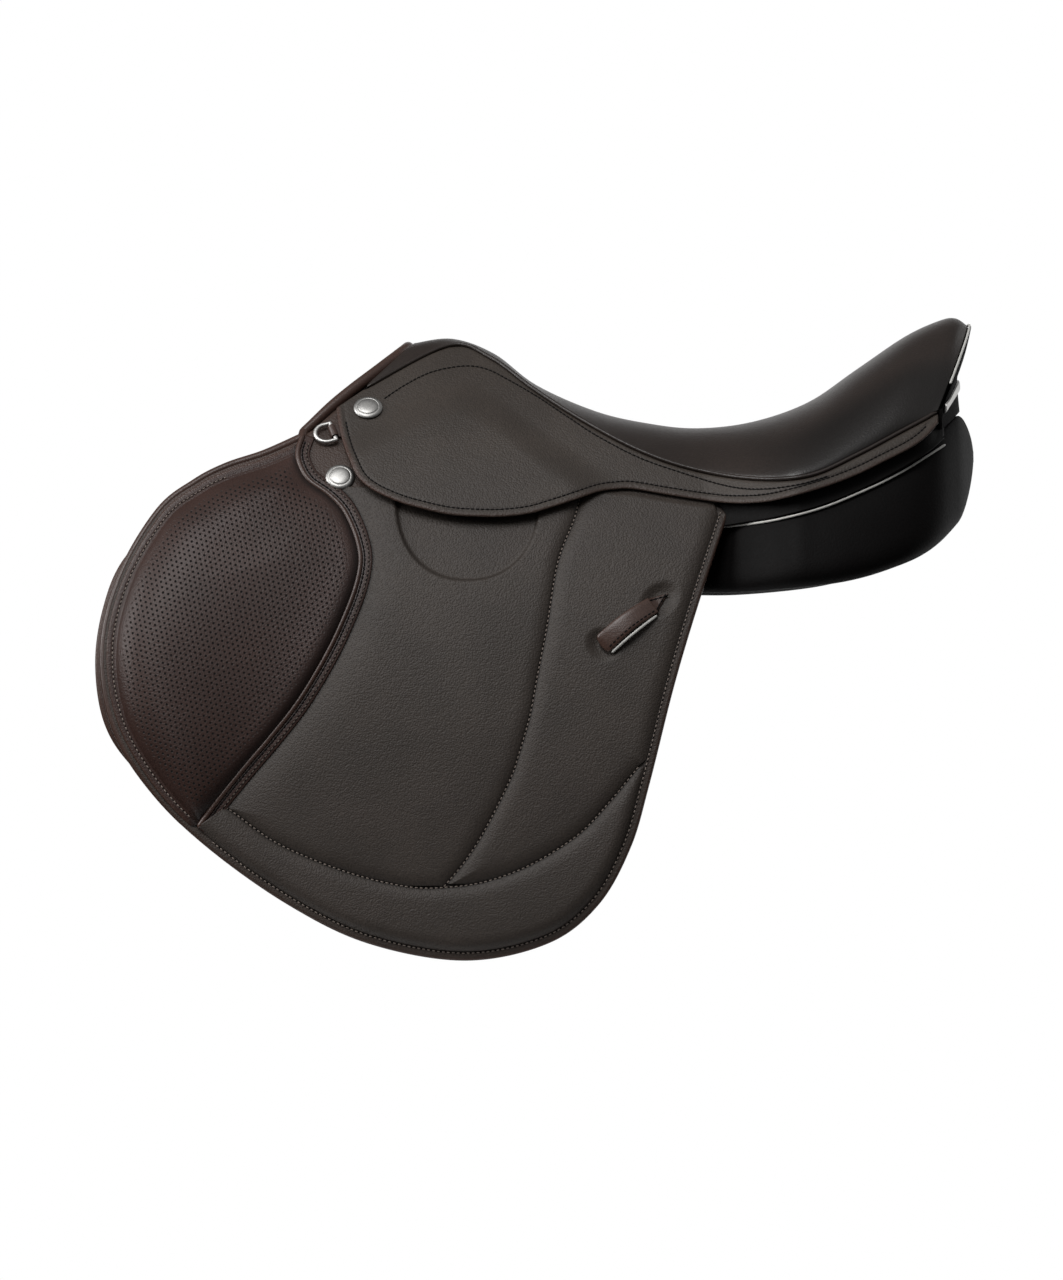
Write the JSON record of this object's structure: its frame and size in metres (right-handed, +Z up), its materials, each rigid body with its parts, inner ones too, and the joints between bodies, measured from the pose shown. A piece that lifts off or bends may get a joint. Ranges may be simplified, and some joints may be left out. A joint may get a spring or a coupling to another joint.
{
  "type": "jumping saddle",
  "caption": "English jumping saddle with forward flaps, padded knee supports, deep seat, stuffed panels and hinged stirrup bar catches.",
  "frame": {"origin": "on the horse's back, under the seat's lowest point, in the saddle's middle plane", "axes": "+X to the rear, +Y to the off (right) side, +Z up"},
  "size_m": [0.6183, 0.3938, 0.4509],
  "materials": {
    "seat_leather": "smooth, semi-gloss",
    "skirt_leather": "smooth calf, satin",
    "flap_leather": "smooth calf, satin",
    "knee_leather": "perforated, soft grip",
    "roll_leather": "rolled, satin",
    "under_leather": "satin",
    "panel_leather": "smooth, gloss",
    "billet_leather": "waxed strap",
    "tree_wood": "laminated, bare",
    "spring_steel": "rolled",
    "bright_steel": "polished",
    "web": "woven",
    "foam": "open-cell foam with a cloth face"
  },
  "bodies": {
    "saddle": {"tree_head": "tree_wood", "tree_rail_near": "tree_wood", "tree_rail_off": "tree_wood", "tree_cantle": "tree_wood", "gullet_plate": "spring_steel", "tree_spring_near": "spring_steel", "tree_spring_off": "spring_steel", "seat_webbing": "web", "seat_foam": "foam", "seat_cover": "seat_leather", "cantle_back": "seat_leather", "cantle_plate": "bright_steel", "pommel_roll": "roll_leather", "gullet_lining": "under_leather", "skirt_near": "skirt_leather", "skirt_off": "skirt_leather", "flap_head_near": "flap_leather", "flap_head_off": "flap_leather", "sweat_flap_near": "under_leather", "sweat_flap_off": "under_leather", "knee_block_near": "under_leather", "knee_block_off": "under_leather", "thigh_block_near": "under_leather", "thigh_block_off": "under_leather", "girth_web_near": "web", "girth_web_off": "web", "panel_near": "panel_leather", "panel_off": "panel_leather", "stirrup_bar_near": "spring_steel", "stirrup_bar_off": "spring_steel", "dee_chape_near": "seat_leather", "dee_chape_off": "seat_leather", "skirt_nails": "bright_steel", "flap_nails": "bright_steel"},
    "flap_near": {"flap_near": "flap_leather", "knee_pad_near": "knee_leather", "thigh_panel_front_near": "flap_leather", "thigh_panel_rear_near": "flap_leather", "hem_panel_near": "flap_leather", "keeper_near": "flap_leather"},
    "skirt_lobe_near": {"skirt_lobe_near": "skirt_leather"},
    "bar_catch_near": {"bar_catch_near": "spring_steel"},
    "dee_near": {"dee_near": "bright_steel"},
    "billet_front_near": {"billet_front_near": "billet_leather"},
    "billet_middle_near": {"billet_middle_near": "billet_leather"},
    "billet_rear_near": {"billet_rear_near": "billet_leather"},
    "flap_off": {"flap_off": "flap_leather", "knee_pad_off": "knee_leather", "thigh_panel_front_off": "flap_leather", "thigh_panel_rear_off": "flap_leather", "hem_panel_off": "flap_leather", "keeper_off": "flap_leather"},
    "skirt_lobe_off": {"skirt_lobe_off": "skirt_leather"},
    "bar_catch_off": {"bar_catch_off": "spring_steel"},
    "dee_off": {"dee_off": "bright_steel"},
    "billet_front_off": {"billet_front_off": "billet_leather"},
    "billet_middle_off": {"billet_middle_off": "billet_leather"},
    "billet_rear_off": {"billet_rear_off": "billet_leather"}
  },
  "joints": [
    {"name": "flap_bend_near", "type": "hinge", "parent": "saddle", "child": "flap_near", "pos_m": [0, -0.12954, 0.002], "axis": [-1, 0, 0], "range_deg": [0, 85]},
    {"name": "skirt_fold_near", "type": "hinge", "parent": "saddle", "child": "skirt_lobe_near", "pos_m": [-0.2503, -0.10509, 0.0625], "axis": [-0.9794, 0.109, 0.1697], "range_deg": [0, 60]},
    {"name": "catch_pivot_near", "type": "hinge", "parent": "saddle", "child": "bar_catch_near", "pos_m": [-0.15392, -0.1124, 0.03143], "axis": [0, -0.8607, 0.5091], "range_deg": [0, 75]},
    {"name": "dee_swing_near", "type": "hinge", "parent": "saddle", "child": "dee_near", "pos_m": [-0.25798, -0.09022, 0.07252], "axis": [-0.309, 0.5719, 0.7599], "range_deg": [0, 100]},
    {"name": "billet_swing_front_near", "type": "hinge", "parent": "saddle", "child": "billet_front_near", "pos_m": [-0.185, -0.11993, -0.0145], "axis": [0, 1, 0], "range_deg": [-4, 4]},
    {"name": "billet_swing_middle_near", "type": "hinge", "parent": "saddle", "child": "billet_middle_near", "pos_m": [-0.145, -0.12473, -0.0145], "axis": [0, 1, 0], "range_deg": [-4, 4]},
    {"name": "billet_swing_rear_near", "type": "hinge", "parent": "saddle", "child": "billet_rear_near", "pos_m": [-0.105, -0.11993, -0.0145], "axis": [0, 1, 0], "range_deg": [-4, 4]},
    {"name": "flap_bend_off", "type": "hinge", "parent": "saddle", "child": "flap_off", "pos_m": [0, 0.12954, 0.002], "axis": [1, 0, 0], "range_deg": [0, 85]},
    {"name": "skirt_fold_off", "type": "hinge", "parent": "saddle", "child": "skirt_lobe_off", "pos_m": [-0.2503, 0.10509, 0.0625], "axis": [0.9794, 0.109, -0.1697], "range_deg": [0, 60]},
    {"name": "catch_pivot_off", "type": "hinge", "parent": "saddle", "child": "bar_catch_off", "pos_m": [-0.15392, 0.1124, 0.03143], "axis": [0, -0.8607, -0.5091], "range_deg": [0, 75]},
    {"name": "dee_swing_off", "type": "hinge", "parent": "saddle", "child": "dee_off", "pos_m": [-0.25798, 0.09022, 0.07252], "axis": [0.309, 0.5719, -0.7599], "range_deg": [0, 100]},
    {"name": "billet_swing_front_off", "type": "hinge", "parent": "saddle", "child": "billet_front_off", "pos_m": [-0.185, 0.11993, -0.0145], "axis": [0, 1, 0], "range_deg": [-4, 4]},
    {"name": "billet_swing_middle_off", "type": "hinge", "parent": "saddle", "child": "billet_middle_off", "pos_m": [-0.145, 0.12473, -0.0145], "axis": [0, 1, 0], "range_deg": [-4, 4]},
    {"name": "billet_swing_rear_off", "type": "hinge", "parent": "saddle", "child": "billet_rear_off", "pos_m": [-0.105, 0.11993, -0.0145], "axis": [0, 1, 0], "range_deg": [-4, 4]}
  ]
}
